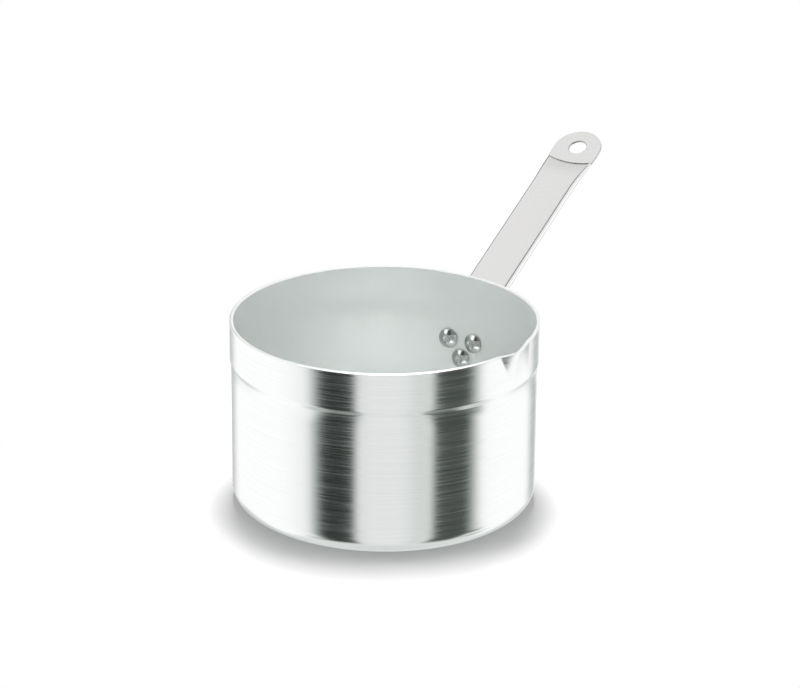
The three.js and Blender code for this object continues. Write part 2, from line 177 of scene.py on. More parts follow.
class RivetSizes(bpy.types.PropertyGroup):
    """The solid rivets that hold the handle."""

    shank_diameter: bpy.props.FloatProperty(
        name="Shank", description="Diameter of the shank", default=0.005, unit="LENGTH")
    head_diameter: bpy.props.FloatProperty(
        name="Head", description="Diameter of the head inside the pan", default=0.011,
        unit="LENGTH")
    head_height: bpy.props.FloatProperty(
        name="Head height", description="Seat to crown", default=0.0024, unit="LENGTH")
    head_edge: bpy.props.FloatProperty(
        name="Head edge", description="Straight edge under the dome", default=0.0004,
        unit="LENGTH")
    dimple_diameter: bpy.props.FloatProperty(
        name="Dimple", description="Diameter of the dimple", default=0.0046, unit="LENGTH")
    dimple_depth: bpy.props.FloatProperty(
        name="Dimple depth", description="Depth of the dimple", default=0.00035, unit="LENGTH")
    closed_diameter: bpy.props.FloatProperty(
        name="Closed head", description="Diameter of the head outside the handle", default=0.009,
        unit="LENGTH")
    closed_height: bpy.props.FloatProperty(
        name="Closed height", description="Height of the closed head", default=0.002,
        unit="LENGTH")
    closed_edge: bpy.props.FloatProperty(
        name="Closed edge", description="Straight edge of the closed head", default=0.0005,
        unit="LENGTH")
    side_gap: bpy.props.FloatProperty(
        name="Side gap", description="Between the two upper heads", default=0.005, unit="LENGTH")
    row_gap: bpy.props.FloatProperty(
        name="Row gap", description="Between an upper head and the lower one", default=0.0023,
        unit="LENGTH")
    below_bend: bpy.props.FloatProperty(
        name="Below bend", description="Bend to the edge of the upper closed heads",
        default=0.0025, unit="LENGTH")
    clearance: bpy.props.FloatProperty(
        name="Hole clearance", description="Round the shank", default=0.0002, unit="LENGTH")
    seat_gap: bpy.props.FloatProperty(
        name="Seat gap", description="Under the heads and the handle's root", default=0.00025,
        unit="LENGTH")


class Finishes(bpy.types.PropertyGroup):
    """The colours of the metals."""

    turned: bpy.props.FloatVectorProperty(
        name="Turned aluminium", description="Outside of the pan", subtype="COLOR",
        default=linear("#F6F7F7"), min=0, max=1)
    matt: bpy.props.FloatVectorProperty(
        name="Matt aluminium", description="Inside of the pan", subtype="COLOR",
        default=linear("#FAFCFB"), min=0, max=1)
    trimmed: bpy.props.FloatVectorProperty(
        name="Trimmed aluminium", description="Rim of the pan", subtype="COLOR",
        default=linear("#FDFEFE"), min=0, max=1)
    satin: bpy.props.FloatVectorProperty(
        name="Satin steel", description="Handle", subtype="COLOR",
        default=linear("#E3E2E1"), min=0, max=1)
    sheared: bpy.props.FloatVectorProperty(
        name="Sheared steel", description="Edge of the handle's sheet", subtype="COLOR",
        default=linear("#B2B2B0"), min=0, max=1)
    # The hanging hole's wall: a pierced edge, painted darker for the shade inside the hole.
    pierced_painted_shade: bpy.props.FloatVectorProperty(
        name="Pierced steel", description="Hanging hole", subtype="COLOR",
        default=linear("#BCBEBD"), min=0, max=1)
    polished: bpy.props.FloatVectorProperty(
        name="Polished aluminium", description="Rivets", subtype="COLOR",
        default=linear("#C8CBC9"), min=0, max=1)


class StudioSettings(bpy.types.PropertyGroup):
    """Camera, floor and light."""

    bearing: bpy.props.FloatProperty(
        name="Camera bearing", description="Direction from the pan to the camera, from the handle",
        default=math.radians(-147.8), subtype="ANGLE")
    lens: bpy.props.FloatProperty(
        name="Lens", description="Focal length in millimetres", default=150.4)


def sizes():
    """Lengths that follow from the sizes, in metres."""
    scene = bpy.context.scene
    pan, handle, rivet = scene.saucepan_pan, scene.saucepan_handle, scene.saucepan_rivet
    d = {}
    d["rim_outer"] = pan.rim_inner_diameter / 2 + pan.wall
    d["wall_outer"] = d["rim_outer"] - pan.step_depth
    d["wall_inner"] = d["wall_outer"] - pan.wall
    d["inner_corner"] = pan.base_corner_radius - pan.wall
    d["step_bottom"] = pan.height - pan.band_height - pan.step_height / 2
    d["outer_step_top"] = pan.height - pan.band_height + pan.step_height
    d["outer_step_bottom"] = d["outer_step_top"] - pan.step_run
    d["inner_step_bottom"] = pan.height - pan.band_height - pan.inner_step_height / 2
    d["inner_step_top"] = pan.height - pan.band_height + pan.inner_step_height / 2
    d["bend_angle"] = QUARTER_TURN - handle.slope
    d["bend_tangent"] = handle.bend_radius * math.tan(d["bend_angle"] / 2)
    d["bend_start"] = d["step_bottom"] - handle.root_below_step - d["bend_tangent"]
    d["root_radius"] = d["wall_outer"] + rivet.seat_gap + handle.sheet / 2
    d["half_pitch"] = (rivet.head_diameter + rivet.side_gap) / 2
    row = rivet.head_diameter + rivet.row_gap
    d["rivet_drop"] = math.sqrt(row ** 2 - d["half_pitch"] ** 2)
    d["upper_rivet"] = d["bend_start"] - rivet.below_bend - rivet.closed_diameter / 2
    d["lower_rivet"] = d["upper_rivet"] - d["rivet_drop"]
    d["rivet_angle"] = math.asin(d["half_pitch"] / d["wall_inner"])
    d["root_end"] = d["lower_rivet"] - handle.root_margin
    return d


# Modelling


def select_only(piece):
    """Selects this piece alone and makes it the active one."""
    bpy.ops.object.select_all(action="DESELECT")
    piece.select_set(True)
    bpy.context.view_layer.objects.active = piece


def edit(piece):
    """Only this piece selected, in edit mode, with all of it selected."""
    select_only(piece)
    bpy.ops.object.mode_set(mode="EDIT")
    bpy.ops.mesh.select_all(action="SELECT")


def name_piece(name):
    """Names the piece that was just added, and its mesh."""
    piece = bpy.context.object
    piece.name = name
    piece.data.name = name
    return piece


def turn(name, profile, steps):
    """A turned piece: a profile of radius and height drawn point by point and spun about Z."""
    bpy.ops.object.select_all(action="DESELECT")
    bpy.ops.mesh.primitive_plane_add(size=MM, location=(0, 0, 0))
    piece = name_piece(name)
    edit(piece)
    bpy.ops.mesh.merge(type="CENTER")
    here = Vector((0, 0, 0))
    for index, (radius, height) in enumerate(profile):
        there = Vector((radius, 0, height))
        if index == 0:
            bpy.ops.transform.translate(value=there)
        else:
            bpy.ops.mesh.extrude_region_move(TRANSFORM_OT_translate={"value": there - here})
        here = there
    bpy.ops.mesh.select_all(action="SELECT")
    bpy.ops.mesh.spin(steps=steps, angle=4 * QUARTER_TURN, center=(0, 0, 0), axis=(0, 0, 1))
    bpy.ops.mesh.select_all(action="SELECT")
    bpy.ops.mesh.remove_doubles(threshold=TINY)
    bpy.ops.mesh.normals_make_consistent(inside=False)
    bpy.ops.object.mode_set(mode="OBJECT")
    return piece


def corners(piece):
    """The piece's corners as an array."""
    flat = np.empty(len(piece.data.vertices) * 3)
    piece.data.vertices.foreach_get("co", flat)
    return flat.reshape(-1, 3)


def place_corners(piece, places):
    """Moves the piece's corners to the places in an array."""
    piece.data.vertices.foreach_set("co", places.ravel())
    piece.data.update()


def finish_modifiers(piece, *modifiers):
    """Adds modifiers, each a kind with its settings, and applies them in order."""
    select_only(piece)
    for kind, settings in modifiers:
        bpy.ops.object.modifier_add(type=kind)
        modifier = piece.modifiers[-1]
        for key, value in settings.items():
            setattr(modifier, key, value)
        bpy.ops.object.modifier_apply(modifier=modifier.name)


def cut(piece, cutter):
    """Cuts a hole with another piece, which is used up."""
    finish_modifiers(piece, ("BOOLEAN", {
        "operation": "DIFFERENCE", "solver": "EXACT", "object": cutter}))
    bpy.data.objects.remove(cutter)


def smooth(piece):
    """Shades a piece smooth, but for its sharp edges."""
    select_only(piece)
    bpy.ops.object.shade_smooth_by_angle(angle=SMOOTH_ANGLE)


def arc(x, y, radius, start, end, count):
    """Points along an arc about (x, y)."""
    angles = np.linspace(start, end, count + 1)
    return [(x + radius * math.cos(a), y + radius * math.sin(a)) for a in angles]


DRILL_SIDES = 48
DRILL_LENGTH = 20 * MM


def rivet_places():
    """Each rivet's node, its bearing from the handle and its height."""
    d = sizes()
    return (
        ("rivet_upper_left", d["rivet_angle"], d["upper_rivet"]),
        ("rivet_upper_right", -d["rivet_angle"], d["upper_rivet"]),
        ("rivet_lower", 0.0, d["lower_rivet"]),
    )


def cut_rivet_holes(piece):
    """Drills the holes for the rivets through a piece."""
    rivet = bpy.context.scene.saucepan_rivet
    root = sizes()["root_radius"]
    radius = rivet.shank_diameter / 2 + rivet.clearance
    for _, angle, height in rivet_places():
        bpy.ops.object.select_all(action="DESELECT")
        bpy.ops.mesh.primitive_cylinder_add(
            vertices=DRILL_SIDES, radius=radius, depth=DRILL_LENGTH,
            location=(root * math.cos(angle), root * math.sin(angle), height),
            rotation=(0, QUARTER_TURN, angle))
        cut(piece, bpy.context.object)


# Pan


# Rows of corners along the half section of the pan.
BASE_ROWS = 6
CORNER_ROWS = 18
WALL_ROWS = 9
STEP_ROWS = 12
BAND_ROWS = 26
RIM_ROWS = 5
INNER_CORNER_ROWS = 14
PAN_SEGMENTS = 360


def pan_profile():
    """Half section of the pan, from the middle of the underside to the middle of the inside."""
    pan = bpy.context.scene.saucepan_pan
    d = sizes()
    rim_inner = d["rim_outer"] - pan.wall
    edge = pan.rim_edge_radius
    up = QUARTER_TURN

    def step(radius, low, high, rounding):
        """The step's slope, straight at a rounding of 0 and an S at 1."""
        shares = np.linspace(0, 1, STEP_ROWS + 1)
        out = (1 - rounding) * shares + rounding * smoothstep(shares, 0, 1)
        return list(zip(radius + pan.step_depth * out, low + shares * (high - low)))

    def rows(radius, low, high, count):
        """Points up a straight wall, without its ends."""
        return [(radius, z) for z in np.linspace(low, high, count + 1)[1:-1]]

    corner = pan.base_corner_radius
    inner = d["inner_corner"]
    flat = d["wall_outer"] - corner
    inner_flat = d["wall_inner"] - inner
    return [
        *[(r, 0) for r in np.linspace(0, flat, BASE_ROWS + 1)[:-1]],
        *arc(flat, corner, corner, -up, 0, CORNER_ROWS),
        *rows(d["wall_outer"], corner, d["outer_step_bottom"], WALL_ROWS),
        *step(d["wall_outer"], d["outer_step_bottom"], d["outer_step_top"], 0),
        *rows(d["rim_outer"], d["outer_step_top"], pan.height - edge, BAND_ROWS),
        *arc(d["rim_outer"] - edge, pan.height - edge, edge, 0, up, RIM_ROWS),
        *arc(rim_inner + edge, pan.height - edge, edge, up, 2 * up, RIM_ROWS),
        *rows(rim_inner, pan.height - edge, d["inner_step_top"], BAND_ROWS),
        *reversed(step(d["wall_inner"], d["inner_step_bottom"], d["inner_step_top"], 1)),
        *rows(d["wall_inner"], d["inner_step_bottom"], pan.base_thickness + inner, WALL_ROWS),
        *arc(inner_flat, pan.base_thickness + inner, inner, 0, -up, INNER_CORNER_ROWS),
        *[(r, pan.base_thickness) for r in np.linspace(inner_flat, 0, BASE_ROWS + 1)[1:]],
    ]


# The lip's shape, as shares of its reach and angles: how round its tip and how soft its foot is, how
# much its front closes in downwards, how fast it fades down the wall, and how closely the turned
# corners gather at it.
LIP_TIP_ROUNDING = 0.08
LIP_FOOT_BLEND = 0.12
LIP_FRONT_TAPER = 0.8
LIP_FADE = 1.2
LIP_GATHER = 0.7


def press_lip(places):
    """Gathers the turned corners near the lip and presses the lip out of the band."""
    pan = bpy.context.scene.saucepan_pan
    radius = np.hypot(places[:, 0], places[:, 1])
    even = np.arctan2(places[:, 1], places[:, 0]) - pan.lip_bearing
    bearing = even - LIP_GATHER * np.sin(even)
    aside = np.arctan2(np.sin(bearing), np.cos(bearing))
    depth = np.clip((pan.height - places[:, 2]) / pan.lip_depth, 0, 1)

    front = pan.lip_front_angle * (1 - LIP_FRONT_TAPER * depth)
    share = np.where(aside < 0, -aside / front, aside / pan.lip_back_angle)
    rounded = np.hypot(share, LIP_TIP_ROUNDING) - LIP_TIP_ROUNDING
    foot = math.hypot(1, LIP_TIP_ROUNDING) - LIP_TIP_ROUNDING
    height = 1 - rounded / foot
    blend = np.maximum(height + LIP_FOOT_BLEND, 0) ** 2 / (4 * LIP_FOOT_BLEND)
    push = np.where(height > LIP_FOOT_BLEND, height, blend) * (1 - depth) ** LIP_FADE

    bearing = bearing + pan.lip_bearing
    radius = radius + pan.lip_reach * push
    return np.column_stack((
        radius * np.cos(bearing),
        radius * np.sin(bearing),
        places[:, 2] - pan.lip_droop * push))


def assign_finishes(piece):
    """Second material for the faces inside the turned pan, third for those on top of its rim."""
    pan = bpy.context.scene.saucepan_pan
    for face in piece.data.polygons:
        outward = face.center.x * face.normal.x + face.center.y * face.normal.y
        is_rim = face.center.z > pan.height - pan.rim_edge_radius
        faces_up = face.normal.z > math.sin(math.radians(30))
        is_floor = faces_up and face.center.z < pan.height / 2
        face.material_index = 2 if is_rim else 1 if outward < 0 or is_floor else 0


class SAUCEPAN_OT_pan(bpy.types.Operator):
    """Turns the pan, presses the lip and drills the rivet holes"""

    bl_idname = "saucepan.pan"
    bl_label = "Pan"

    def execute(self, context):
        pan = turn("pan", pan_profile(), PAN_SEGMENTS)
        for finish in (turned_aluminium, matt_aluminium, trimmed_aluminium):
            pan.data.materials.append(finish())
        assign_finishes(pan)
        place_corners(pan, press_lip(corners(pan)))
        cut_rivet_holes(pan)
        smooth(pan)
        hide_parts("pan_body")
        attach(pan, "root")
        return {"FINISHED"}


# Handle


# The top runs down towards the crease in a slope, and the last share of it is a sharp set-down.
RUN_DOWN_SHARPNESS = 2.6
SET_DOWN_SHARPNESS = 30
SET_DOWN_SHARE = 0.2

# Columns of corners across half of the handle, and the limits of the shares that they take up.
FLAT_COLUMNS = 12
FOLD_COLUMNS = 10
SIDE_COLUMNS = 8
FLAT_LIMIT = 0.86
FOLD_SHARE = 0.3
FOLD_LIMIT = 0.97
EDGE_COLUMNS = 3

# Rows of corners along the handle.
ROOT_ROWS = 10
FLARE_ROWS = 48
FLARE_CLOSING = 1.6
CREASE_ROWS = 16
TIP_ROWS = 16

HOLE_SEGMENTS = 96
HOLE_EDGE_ROWS = 5
CUTTER_REACH = 5 * MM
BEVEL_ANGLE = math.radians(50)


def handle_stations():
    """Places along the flat blank, from the end of the root, and its half widths."""
    handle = bpy.context.scene.saucepan_handle
    d = sizes()
    s = {}
    s["fold_radius"] = handle.fold_inner_radius + handle.sheet / 2
    s["flat"] = handle.grip_width / 2 - s["fold_radius"] - handle.sheet / 2
    fold = handle.fold_angle
    rise = handle.sheet / 2 * (1 + math.cos(fold)) + s["fold_radius"] * (1 - math.cos(fold))
    s["fold_end"] = s["flat"] + s["fold_radius"] * fold
    s["half_blank"] = s["fold_end"] + (handle.grip_depth - rise) / math.sin(fold)
    s["grip_edge"] = (
        s["flat"] + (s["fold_radius"] + handle.sheet / 2) * math.sin(fold)
        + (s["half_blank"] - s["fold_end"]) * math.cos(fold))
    s["lower"] = handle.root_margin
    s["upper"] = s["lower"] + d["rivet_drop"]
    s["bend_start"] = d["bend_start"] - d["root_end"]
    s["bend_end"] = s["bend_start"] + handle.bend_radius * d["bend_angle"]
    s["crease"] = s["bend_end"] + handle.grip_length - d["bend_tangent"]
    s["flare"] = s["crease"] - handle.flare_length
    s["end"] = s["crease"] + handle.tip_length
    s["tip"] = s["end"] - handle.tip_width / 2
    s["lean"] = math.atan2(d["half_pitch"], d["rivet_drop"])
    return s


def sunk_depth(u, s):
    """How far the top sinks towards the tip, which lies level with the edges of the sides."""
    handle = bpy.context.scene.saucepan_handle
    flattened = np.clip((u - s["flare"]) / handle.flare_length, 0, 1)
    gentle = (1 - SET_DOWN_SHARE) * flattened ** RUN_DOWN_SHARPNESS
    sharp = SET_DOWN_SHARE * flattened ** SET_DOWN_SHARPNESS
    return (handle.grip_depth - handle.sheet) * (gentle + sharp)


def section(u, s):
    """The formed section at places along the blank: its flat half width, the angle of its folded
    sides and its half width when flat. Where the top sinks, the sides get lower and at last open
    out flat."""
    handle = bpy.context.scene.saucepan_handle
    half_pitch = sizes()["half_pitch"]
    margin = handle.root_margin
    back = margin * math.sin(s["lean"])
    tangent = margin * math.cos(s["lean"]) + (u - s["lower"] + back) * math.tan(s["lean"])
    corner = half_pitch + np.sqrt(np.maximum(margin ** 2 - np.minimum(u - s["upper"], 0) ** 2, 0))
    root = np.where(u < s["upper"] - back, tangent, corner)
    ease = smoothstep(u, s["upper"], s["bend_end"])
    strip = (half_pitch + margin) * (1 - ease) + s["half_blank"] * ease
    blank = np.where(u < s["upper"], root, strip)

    radius, half_sheet = s["fold_radius"], handle.sheet / 2
    depth = handle.grip_depth - half_sheet - sunk_depth(u, s)
    opened = np.arccos(np.clip((radius - depth) / handle.fold_inner_radius, -1, 1))
    raised = smoothstep(u, s["bend_start"], s["bend_end"] + handle.fold_run_out)
    fold = np.minimum(handle.fold_angle, opened) * raised
    arc_depth = radius * (1 - np.cos(fold)) + half_sheet * np.cos(fold)
    side = np.maximum(depth - arc_depth, 0) / np.maximum(np.sin(fold), TINY)
    widen = smoothstep(u, s["flare"], s["tip"])
    outside = s["grip_edge"] * (1 - widen) + handle.tip_width / 2 * widen
    flared = outside - (radius + half_sheet) * np.sin(fold) - side * np.cos(fold)
    beyond = np.maximum(u - s["tip"], 0)
    round_tip = np.sqrt(np.maximum((handle.tip_width / 2) ** 2 - beyond ** 2, 0))
    flared = np.where(u > s["tip"], round_tip, flared)

    is_grip = u < s["flare"]
    flat = np.where(is_grip, s["flat"], flared)
    half_width = np.where(is_grip, blank, flared + radius * fold + side)
    return flat, fold, half_width


def round_end(shares, rows, centre, radius, spread):
    """Grid of a round end: from its straight chord to its arc, as (along, across) rows.

    The grid's two sides run along the arc's outer quarters and its last row along the middle
    half, so that no face is pinched.
    """
    half = spread / 2

    def on_arc(angle):
        return radius * np.stack((np.cos(angle), np.sin(angle)), axis=-1)

    t = np.linspace(0, 1, rows + 1)[1:, None]
    x = ((shares + 1) / 2)[None, :, None]
    side = spread - half * t
    bulge = on_arc(half * shares)[None] - (1 - x) * on_arc(-half) - x * on_arc(half)
    grid = t[:, :, None] * bulge + (1 - x) * on_arc(-side) + x * on_arc(side)
    return grid + np.array((centre, 0))


def across_shares(u, s):
    """Shares of the half width at which columns of corners run: the flat, the fold, the flange."""
    flat, fold, half_width = section(u, s)
    flat_end = min(flat / half_width, FLAT_LIMIT)
    fold_end = (flat + s["fold_radius"] * fold) / half_width
    fold_end = np.clip(fold_end, flat_end + FOLD_SHARE * (1 - flat_end), FOLD_LIMIT)
    half = np.concatenate((
        np.linspace(0, flat_end, FLAT_COLUMNS + 1)[:-1],
        np.linspace(flat_end, fold_end, FOLD_COLUMNS + 1)[:-1],
        np.linspace(fold_end, 1, SIDE_COLUMNS + 1)))
    return np.concatenate((-half[:0:-1], half))


def handle_grid(s):
    """The flat blank as rows of (along, across)."""
    handle = bpy.context.scene.saucepan_handle
    root_spread = QUARTER_TURN - s["lean"]
    first = s["lower"] - handle.root_margin * math.cos(root_spread)
    root = round_end(across_shares(first, s), ROOT_ROWS, 0, handle.root_margin, root_spread)
    root[:, :, 0] = s["lower"] - root[:, :, 0]
    full_fold = s["bend_end"] + handle.fold_run_out
    stretches = (
        (first, s["upper"], 21),
        (s["upper"], s["bend_start"], 9),
        (s["bend_start"], s["bend_end"], 21),
        (s["bend_end"], full_fold, 11),
        (full_fold, s["flare"], 39))
    closing = np.linspace(1, 0, FLARE_ROWS + 1)[:-1] ** FLARE_CLOSING
    along = np.concatenate((
        *[np.linspace(begin, end, rows + 1)[:-1] for begin, end, rows in stretches],
        s["crease"] - handle.flare_length * closing,
        np.linspace(s["crease"], s["tip"], CREASE_ROWS + 1)))
    shares = [across_shares(u, s) for u in along]
    straight = np.array([
        np.column_stack((np.full(len(row), u), row * section(u, s)[2]))
        for u, row in zip(along, shares)])
    tip = round_end(
        across_shares(s["tip"], s), TIP_ROWS, s["tip"], handle.tip_width / 2, QUARTER_TURN)
    return np.concatenate((root[::-1], straight, tip))


def form_strip(u, v, offset, s):
    """Forms the flat blank: round the wall, through the bend, folded along the grip, flat at the
    tip. The offset runs from the sheet's middle towards its upper face."""
    handle = bpy.context.scene.saucepan_handle
    d = sizes()
    flat, fold, half_width = section(u, s)
    share = np.clip(v / np.maximum(half_width, MM), -1, 1)
    near_crease = 1 - smoothstep(np.abs(u - s["crease"]), 0, handle.crease_reach)
    run = u - handle.crease_bow * near_crease * (1 - share ** 2)
    wrapped = 1 - smoothstep(u, s["bend_start"], s["bend_end"])

    past = np.maximum(np.abs(v) - flat, 0)
    lean = np.minimum(past / s["fold_radius"], fold)
    rest = past - s["fold_radius"] * lean
    aside = np.minimum(np.abs(v), flat) + s["fold_radius"] * np.sin(lean) + rest * np.cos(lean)
    above = -s["fold_radius"] * (1 - np.cos(lean)) - rest * np.sin(lean)

    curve = np.maximum(wrapped, TINY) / d["root_radius"]
    curl = aside * curve
    above = above + (1 - np.cos(curl)) / curve + offset * np.cos(lean - curl) - sunk_depth(u, s)
    aside = np.sign(v) * (np.sin(curl) / curve + offset * np.sin(lean - curl))

    turned = np.clip((run - s["bend_start"]) / handle.bend_radius, 0, d["bend_angle"])
    heading = QUARTER_TURN - turned
    before = np.minimum(run, s["bend_start"])
    beyond = np.maximum(run - s["bend_end"], 0)
    x = d["root_radius"] + handle.bend_radius * (1 - np.cos(turned)) + beyond * np.cos(heading)
    z = d["root_end"] + before + handle.bend_radius * np.sin(turned) + beyond * np.sin(heading)
    return np.stack((x - above * np.sin(heading), aside, z + above * np.cos(heading)), axis=-1)


def hole_cutter(s):
    """A spool that cuts the hanging hole with its edges eased. Its faces give the hole the third
    material."""
    handle = bpy.context.scene.saucepan_handle
    d = sizes()
    radius = handle.hole_diameter / 2
    ease = 2 * handle.edge_round
    face = handle.sheet / 2
    out = radius + ease
    half = [(0, CUTTER_REACH), (out, CUTTER_REACH)]
    half += arc(out, face - ease, ease, QUARTER_TURN, 2 * QUARTER_TURN, HOLE_EDGE_ROWS)
    profile = half + [(x, -y) for x, y in reversed(half)]
    cutter = turn("hole_cutter", profile, HOLE_SEGMENTS)
    sunk = handle.grip_depth - handle.sheet
    run = s["end"] - handle.hole_from_end - s["bend_end"]
    bend = handle.bend_radius
    slope = handle.slope
    x = d["root_radius"] + bend * (1 - math.cos(d["bend_angle"])) + run * math.cos(slope)
    z = d["bend_start"] + bend * math.sin(d["bend_angle"]) + run * math.sin(slope)
    cutter.location = (x + sunk * math.sin(slope), 0, z - sunk * math.cos(slope))
    cutter.rotation_euler = (0, -slope, 0)
    for _ in range(3):
        cutter.data.materials.append(None)
    for face in cutter.data.polygons:
        face.material_index = 2
    return cutter


class SAUCEPAN_OT_handle(bpy.types.Operator):
    """Forms the handle from a flat strip and cuts its holes"""

    bl_idname = "saucepan.handle"
    bl_label = "Handle"

    def execute(self, context):
        settings = context.scene.saucepan_handle
        s = handle_stations()
        blank = handle_grid(s)
        rows, columns = blank.shape[:2]
        bpy.ops.object.select_all(action="DESELECT")
        bpy.ops.mesh.primitive_grid_add(
            x_subdivisions=columns - 1, y_subdivisions=rows - 1, size=1, location=(0, 0, 0))
        strip = name_piece("handle_strip")
        finish_modifiers(strip, ("SOLIDIFY", {"thickness": settings.sheet, "offset": 0}))
        faces = [
            form_strip(blank[:, :, 0], blank[:, :, 1], side * settings.sheet / 2, s)
            for side in (1, -1)]
        place_corners(strip, np.concatenate(faces).reshape(-1, 3))
        for finish in (satin_steel, sheared_steel, pierced_steel_painted_shade):
            strip.data.materials.append(finish())
        sheet_faces = 2 * (rows - 1) * (columns - 1)
        for face in strip.data.polygons:
            column = face.index % (columns - 1)
            from_edge = min(column, columns - 2 - column)
            is_edge = from_edge < EDGE_COLUMNS or face.index >= sheet_faces
            face.material_index = 1 if is_edge else 0
        edit(strip)
        bpy.ops.mesh.normals_make_consistent(inside=False)
        bpy.ops.object.mode_set(mode="OBJECT")
        finish_modifiers(strip, ("BEVEL", {
            "width": settings.edge_round, "segments": 3, "limit_method": "ANGLE",
            "angle_limit": BEVEL_ANGLE, "use_clamp_overlap": False}))
        cut(strip, hole_cutter(s))
        cut_rivet_holes(strip)
        smooth(strip)
        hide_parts("handle")
        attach(strip, "root")
        return {"FINISHED"}


# Rivets


# Rows of corners along the half section of a rivet, and how flat the floor of its dimple is.
DIMPLE_ROWS = 16
DOME_ROWS = 23
CLOSED_ROWS = 17
RIVET_SEGMENTS = 72
DIMPLE_FLATNESS = 6


def rivet_profile():
    """Half section of a rivet: radius, and distance from the pan's axis."""
    rivet = bpy.context.scene.saucepan_rivet
    handle = bpy.context.scene.saucepan_handle
    d = sizes()
    head = rivet.head_diameter / 2
    closed = rivet.closed_diameter / 2
    shank = rivet.shank_diameter / 2
    dimple = rivet.dimple_diameter / 2
    seat = math.sqrt(d["wall_inner"] ** 2 - head ** 2) - rivet.seat_gap
    crown = seat - rivet.head_height
    outer_seat = d["root_radius"] + handle.sheet / 2 + rivet.seat_gap
    dome_rise = rivet.head_height - rivet.head_edge
    ball = (head ** 2 + dome_rise ** 2) / (2 * dome_rise)
    dome = [
        (r, crown + ball - math.sqrt(ball ** 2 - r ** 2))
        for r in np.linspace(dimple, head, DOME_ROWS + 1)]
    floor = dome[0][1]
    hollow = [
        (dimple * t, floor + rivet.dimple_depth * (1 - t ** DIMPLE_FLATNESS))
        for t in np.linspace(0, 1, DIMPLE_ROWS + 1)[:-1]]
    closed_rise = rivet.closed_height - rivet.closed_edge
    cap = [
        (closed * math.cos(a), outer_seat + rivet.closed_edge + closed_rise * math.sin(a))
        for a in np.linspace(0, QUARTER_TURN, CLOSED_ROWS + 1)]
    return [
        *hollow,
        *dome,
        (head, seat),
        (shank, seat),
        (shank, outer_seat),
        (closed, outer_seat),
        *cap,
    ]


class SAUCEPAN_OT_rivets(bpy.types.Operator):
    """Turns one rivet and sets a copy of it in each hole"""

    bl_idname = "saucepan.rivets"
    bl_label = "Rivets"

    def execute(self, context):
        model = turn("rivet", rivet_profile(), RIVET_SEGMENTS)
        smooth(model)
        model.data.materials.append(polished_aluminium())
        for node, angle, height in rivet_places():
            select_only(model)
            bpy.ops.object.duplicate(linked=False)
            rivet = name_piece(node + "_turned")
            rivet.rotation_euler = (0, QUARTER_TURN, angle)
            rivet.location = (0, 0, height)
            bpy.ops.object.transform_apply(location=True, rotation=True, scale=True)
            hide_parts(node)
            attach(rivet, "root")
        bpy.data.objects.remove(model)
        return {"FINISHED"}


# Materials


def add_node(tree, kind, settings=None, inputs=None):
    """Adds a node with its settings; an input is a value or a socket to link from."""
    node = tree.nodes.new(kind)
    for key, value in (settings or {}).items():
        setattr(node, key, value)
    for key, value in (inputs or {}).items():
        if isinstance(value, bpy.types.NodeSocket):
            tree.links.new(value, node.inputs[key])
        else:
            node.inputs[key].default_value = value
    return node


def start_material(name):
    """A new material with no nodes yet, and its node tree."""
    material = bpy.data.materials.new(name)
    material.use_nodes = True
    material.node_tree.nodes.clear()
    return material, material.node_tree


# Noise cells to the metre. A mark is about 0.6 of a cell wide.
TOOL_MARKS = 2000  # about 0.3 mm
SHEAR_MARKS = 3000  # about 0.2 mm
HANDLING_MARKS = 900  # about 0.7 mm
ETCHED_GRAIN = 6000  # about 0.1 mm
ETCHED_CLOUDS = 45  # about 13 mm
SATIN_GRAIN = (60, 2500, 2500)  # about 10 mm along the grip and 0.25 mm across it
# Brush lines are about 0.05 mm apart; drawn at 0.5 mm so that they show in the render.
BRUSH_LINES = (22, 22, 1900)
BRUSH_RELIEF = 0.05 * MM

SPAN = ("From Min", "From Max", "To Min", "To Max")


def finish_metal(tree, finish, marks, shade, rough, **inputs):
    """Metal in the colour of a finish, which its marks shade. A span says what the marks run
    between and what that turns to. Rough is a span too, or what goes straight to the shader, as
    the other inputs do."""
    tint = (*getattr(bpy.context.scene.saucepan_finishes, finish), 1)
    shaded = add_node(tree, "ShaderNodeMapRange", inputs={"Value": marks, **dict(zip(SPAN, shade))})
    colour = add_node(tree, "ShaderNodeMix", {"data_type": "RGBA", "blend_type": "MULTIPLY"}, {
        "Factor": 1.0, "A": tint, "B": shaded.outputs["Result"]})
    if isinstance(rough, tuple):
        rough = add_node(tree, "ShaderNodeMapRange", inputs={
            "Value": marks, **dict(zip(SPAN, rough))}).outputs["Result"]
    shader = add_node(tree, "ShaderNodeBsdfPrincipled", inputs={
        "Base Color": colour.outputs["Result"], "Metallic": 1.0, "Roughness": rough, **inputs})
    add_node(tree, "ShaderNodeOutputMaterial", inputs={"Surface": shader.outputs["BSDF"]})


def marked_metal(name, finish, scale, detail, shade, rough):
    """A metal with fine marks that run no special way."""
    material, tree = start_material(name)
    place = add_node(tree, "ShaderNodeTexCoord").outputs["Object"]
    marks = add_node(tree, "ShaderNodeTexNoise", inputs={
        "Vector": place, "Scale": scale, "Detail": detail})
    finish_metal(tree, finish, marks.outputs["Fac"], shade, rough)
    return material


